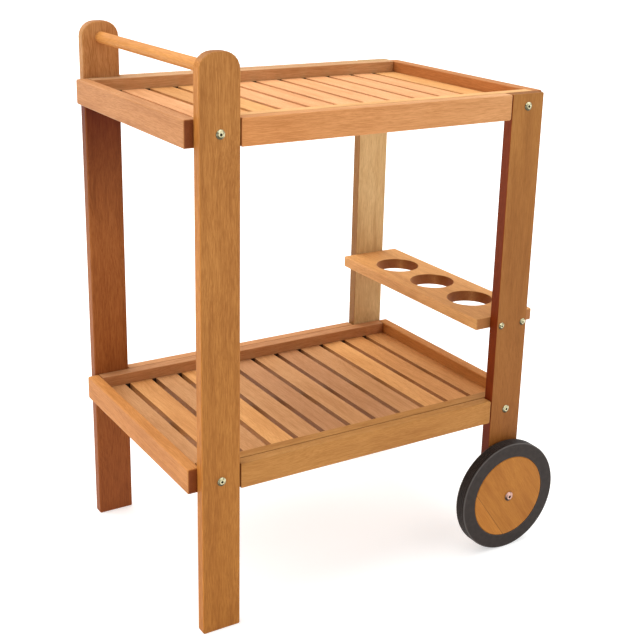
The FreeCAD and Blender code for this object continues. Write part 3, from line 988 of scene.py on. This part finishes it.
def screw_surface(surface, side, place, head, height, socket, depth, shank, length, crown):
    """Shank and head turned as one outline from the tip, then the socket's rim, wall and floor. The
    head's side is straight for that share of its height. Painted shade is socket_shade in the socket.
    On the crown it is crown_shade times twice the normal's part away from the axis, at most 1, times
    shade_level - shade_slope n.d from 0 to 1, with d the way to the lit side in x and z."""
    x, y, z = place
    top, floor = y + height, y + height - depth
    corners = [(0, y - length), (shank / 2, y - length), (shank / 2, y), (head / 2, y),
               (head / 2, y + straight_side * height), (head / 2 - crown, top), (0, top)]
    points, normals, _ = rounded_outline(corners, head_radii)
    points, normals = points[off_axis], normals[off_axis]
    angle = -side * 2 * math.pi * np.arange(head_columns) / head_columns
    flat = np.round(angle / (math.pi / 3)) * math.pi / 3
    hexagon = socket / 2 / np.cos(angle - flat)
    rims = np.array([edge_break, 0, 0, -edge_break])
    turned = slice(0, len(points))
    radius = np.concatenate([np.repeat(points[:, :1], head_columns, axis=1), hexagon + rims[:, None]])
    along = np.concatenate([points[:, 1], [top, top - edge_break, floor + edge_break, floor]])
    radial = np.concatenate([normals[:, 0], [0, -1, -1, 0]])[:, None]
    axial = np.concatenate([normals[:, 1], [1, 0, 0, 1]])[:, None]
    heading = np.concatenate([np.tile(angle, (len(points), 1)), np.tile(flat, (len(rims), 1))])
    rows = np.stack([x + radius * np.cos(angle), side * along[:, None] + 0 * radius,
                     z + radius * np.sin(angle)], axis=-1)
    slopes = np.stack([radial * np.cos(heading), side * axial + 0 * radius,
                       radial * np.sin(heading)], axis=-1)
    lee = shade_level - shade_slope * slopes[turned][..., [X, Z]] @ lit_side
    head_shade = np.zeros(radius.shape)
    head_shade[turned] = crown_shade * np.minimum(2 * np.abs(radial[turned]), 1) * np.clip(lee, 0, 1)
    head_shade[len(points) + 1:] = socket_shade
    surface.add(rows, slopes, head_shade, start_cap=True, end_cap=True)


print("a head has", len(head_radii), "corners and a socket")

# %% Tray screws
tray_screw = {"head": 14.2 * mm, "height": 2.5 * mm, "socket": 4 * mm, "depth": 1.6 * mm,
              "shank": 6 * mm, "length": 36 * mm, "crown": 3.4 * mm}
legs_out = place_of("left_handle_leg")[1][Y]
leg_lines = [middle_of(f"left_{end}_leg")[X] for end in ("handle", "wheel")]
rail_lines = [middle_of(f"{tray}_tray_handle_end_rail")[Z] for tray in ("upper", "lower")]
surface = Surface()
for side in (1, -1):
    for x in leg_lines:
        for z in rail_lines:
            screw_surface(surface, side, (x, legs_out, z), **tray_screw)
make_piece("tray_screw_heads", surface, yellow_zinc, node="tray_screws")
print("tray screws at x", np.round(np.array(leg_lines) / mm), "z", np.round(np.array(rail_lines) / mm))

# %% Bottle-board screws
board_screw = {"head": 11.8 * mm, "height": 2.2 * mm, "socket": 3 * mm, "depth": 1.4 * mm,
               "shank": 5 * mm, "length": 30 * mm, "crown": 2.8 * mm}
board_screw_offset, board_screw_drop = 23 * mm, 1.5 * mm
board_screw_height = middle_of("bottle_holder")[Z] - board_screw_drop
surface = Surface()
for side in (1, -1):
    for step in (-board_screw_offset, board_screw_offset):
        screw_surface(surface, side, (leg_lines[1] + step, legs_out, board_screw_height), **board_screw)
make_piece("bottle_board_screw_heads", surface, yellow_zinc)
print("bottle-board screws, mm above the floor:", round(board_screw_height / mm, 1))

# %% [markdown]
# An axle bolt goes through its wheel, a washer and the short leg, and a nut holds it on the inside.
# Its head and socket are the same kind as a screw's. The nuts and washers hardly show. Their solids
# already have the right shape, so they stay and only get the bright zinc.

# %% Axle bolts
tip_past_leg = 9.5 * mm
axle_bolt = {"head": 17 * mm, "height": 3 * mm, "socket": 5 * mm, "depth": 1.8 * mm, "shank": 8 * mm,
             "crown": 3.6 * mm}
bolt_seat = place_of("axle_bolts")[1][Y] - axle_bolt["height"]
tip = place_of("left_wheel_leg")[0][Y] - tip_past_leg
surface = Surface()
for side in (1, -1):
    screw_surface(surface, side, (wheel_line[0], bolt_seat, wheel_line[1]), length=bolt_seat - tip,
                  **axle_bolt)
make_piece("axle_bolt_heads", surface, bright_zinc, node="axle_bolts")
for node in ("axle_nuts", "axle_washers"):
    nodes[node].data.materials.clear()
    nodes[node].data.materials.append(bright_zinc)
print("axle bolt reaches inwards to y", round(tip / mm, 1))

# %% [markdown]
# ## The camera
#
# The view is set so that the trolley falls on the picture as it does in the photograph. A camera aimed
# at the trolley's middle with a Track To constraint would come near, but not to the pixel. So the
# place, the turns and the focal length were solved from the corners of the trolley. The picture's
# optical centre is not its middle, so the lens is shifted by the difference.

# %% Camera
camera_place = (-1.024042, -1.647033, 1.096787)
yaw, pitch, roll = (math.radians(v) for v in (-31.412, -17.443, 1.151))
focal_px = 1169.831
centre_px = (308.979, 268.42)
image_px = (639, 641)
sensor_mm = 36


def placed(right, up, back, place):
    """The 4 by 4 matrix of an object with three axes and a place as its columns."""
    return Matrix(np.vstack([np.column_stack([right, up, back, place]), [0, 0, 0, 1]]).tolist())


forward = np.array([-math.sin(yaw) * math.cos(pitch), math.cos(yaw) * math.cos(pitch), math.sin(pitch)])
flat_right = np.array([math.cos(yaw), math.sin(yaw), 0.0])
flat_up = np.cross(flat_right, forward)
right = math.cos(roll) * flat_right + math.sin(roll) * flat_up
up = math.cos(roll) * flat_up - math.sin(roll) * flat_right

camera_data = bpy.data.cameras.new("studio_camera")
camera_data.sensor_fit = "HORIZONTAL"
camera_data.sensor_width = sensor_mm
camera_data.lens = focal_px * sensor_mm / image_px[0]
camera_data.shift_x = (image_px[0] / 2 - centre_px[0]) / image_px[0]
camera_data.shift_y = (centre_px[1] - image_px[1] / 2) / image_px[0]
camera_data.clip_end = 100
camera = bpy.data.objects.new("studio_camera", camera_data)
camera.matrix_world = placed(right, up, -forward, camera_place)
bpy.context.scene.collection.objects.link(camera)
bpy.context.scene.camera = camera
print("lens, mm:", round(camera_data.lens, 2))

# %% [markdown]
# ## Floor and light
#
# The trolley stands on a pale translucent sheet that is also lit from below, as on a product table,
# so the sheet comes out white and only a faint shadow stays. One broad soft light stands high behind
# the handle end and lights the tops. A second stands beyond the wheels and a third in front, both
# much weaker, and fill the sides that the first one leaves dark. Area lights would do it too, but they
# fall off across the trolley. A sun lamp with a wide disc is as soft and lights every part alike. The
# white air does the rest.

# %% Floor
floor_mesh = bpy.data.meshes.new("studio_floor")
reach = 40.0
square = [(-reach, -reach, 0), (reach, -reach, 0), (reach, reach, 0), (-reach, reach, 0)]
floor_mesh.from_pydata(square, [], [(0, 1, 2, 3)])
floor = bpy.data.objects.new("studio_floor", floor_mesh)
bpy.context.scene.collection.objects.link(floor)
paper, tree, shader = new_material("matt_translucent_sheet")
place = add(tree, "ShaderNodeTexCoord").outputs["Object"]
fleck = add(tree, "ShaderNodeTexNoise", Vector=place, Scale=3.0)
sheet = add(tree, "ShaderNodeMix", COLOUR, i0=fleck, i6=linear("#CDCDCC"), i7=linear("#D2D2D1"))
tree.links.new(sheet.outputs[2], shader.inputs["Base Color"])
shader.inputs["Roughness"].default_value = 0.95
shader.inputs["Specular IOR Level"].default_value = 0.1
shader.inputs["Emission Color"].default_value = (1.0, 1.0, 1.0, 1.0)
shader.inputs["Emission Strength"].default_value = 0.55
floor_mesh.materials.append(paper)
print("floor, m:", 2 * reach, "square")

# %% Light
air_strength = 0.36
stand_off = 3.0
world = bpy.data.worlds.new("studio_air")
world.use_nodes = True
world.node_tree.nodes["Background"].inputs[0].default_value = (1, 1, 1, 1)
world.node_tree.nodes["Background"].inputs[1].default_value = air_strength
bpy.context.scene.world = world


def distant_softbox(name, towards, spread, strength):
    """A far, wide light; its axes are the way towards it, level sideways, and their cross."""
    data = bpy.data.lights.new(name, "SUN")
    data.angle = math.radians(spread)
    data.energy = strength
    light = bpy.data.objects.new(name, data)
    away = np.array(towards) / np.linalg.norm(towards)
    side = np.cross([0, 0, 1], away)
    side = side / np.linalg.norm(side)
    light.matrix_world = placed(side, np.cross(away, side), away, stand_off * away)
    bpy.context.scene.collection.objects.link(light)
    print(name, "spreads over", spread, "degrees")


distant_softbox("high_softbox_behind_the_handle", towards=(-0.36, 0.40, 0.84), spread=80, strength=3.8)
distant_softbox("softbox_beyond_the_wheels", towards=(0.75, 0.05, 0.66), spread=70, strength=1.2)
distant_softbox("front_softbox", towards=(0.30, -0.80, 0.50), spread=60, strength=1.0)
bpy.context.scene.view_settings.view_transform = "Standard"
bpy.context.scene.view_settings.look = "None"
